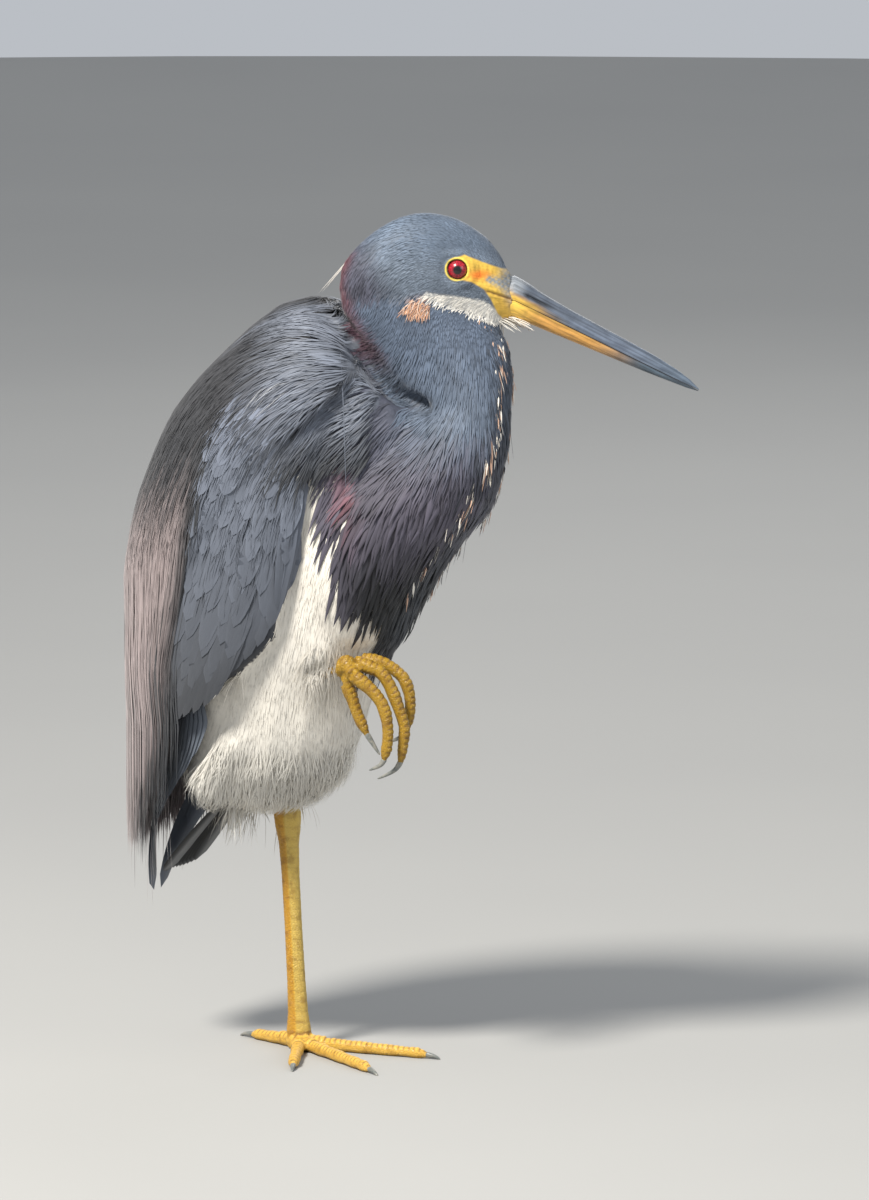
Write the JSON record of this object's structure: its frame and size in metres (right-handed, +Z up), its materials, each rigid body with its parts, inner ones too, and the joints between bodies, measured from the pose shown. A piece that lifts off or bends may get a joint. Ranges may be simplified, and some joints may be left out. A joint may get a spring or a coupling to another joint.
{
  "type": "heron",
  "caption": "Adult tricolored heron at life size, a still museum model standing on one leg with the other foot tucked up and the neck drawn in.",
  "frame": {"origin": "on the floor, under the middle of the pad of the standing left foot", "axes": "+Z up, +X the way the trunk faces, so the bird's right side is towards -Y"},
  "size_m": [0.2484, 0.1064, 0.376],
  "materials": {
    "slate_feathers": "soft matte feathers, blue-grey",
    "plum_feathers": "soft matte plumes, purplish slate",
    "back_plumes": "fine loose plumes, brownish grey",
    "white_feathers": "soft downy feathers, cream white",
    "flight_feathers": "firm smooth feathers, dark slate",
    "bill_horn": "satin horn, blue-grey",
    "bill_orange": "satin horn, orange-yellow",
    "leg_skin": "scaly skin, yellow-orange",
    "claw_horn": "smooth horn, dark grey",
    "iris": "wet glossy eye, red"
  },
  "bodies": {
    "root": {"bill_lower": "bill_orange", "bill_upper": "bill_horn", "claw_left_1": "claw_horn", "claw_left_2": "claw_horn", "claw_left_3": "claw_horn", "claw_left_4": "claw_horn", "claw_right_1": "claw_horn", "claw_right_2": "claw_horn", "claw_right_3": "claw_horn", "claw_right_4": "claw_horn", "eye_left": "iris", "eye_right": "iris", "foot_left": "leg_skin", "foot_right": "leg_skin", "head": "slate_feathers", "mantle": "back_plumes", "neck_lower": "plum_feathers", "neck_middle": "slate_feathers", "neck_upper": "slate_feathers", "primaries_left": "flight_feathers", "primaries_right": "flight_feathers", "shank_left": "leg_skin", "shank_right": "leg_skin", "tail": "flight_feathers", "thigh_left": "white_feathers", "thigh_right": "white_feathers", "toe_left_1": "leg_skin", "toe_left_2": "leg_skin", "toe_left_3": "leg_skin", "toe_left_4": "leg_skin", "toe_right_1": "leg_skin", "toe_right_2": "leg_skin", "toe_right_3": "leg_skin", "toe_right_4": "leg_skin", "trunk": "white_feathers", "wing_left": "slate_feathers", "wing_right": "slate_feathers"}
  },
  "joints": []
}
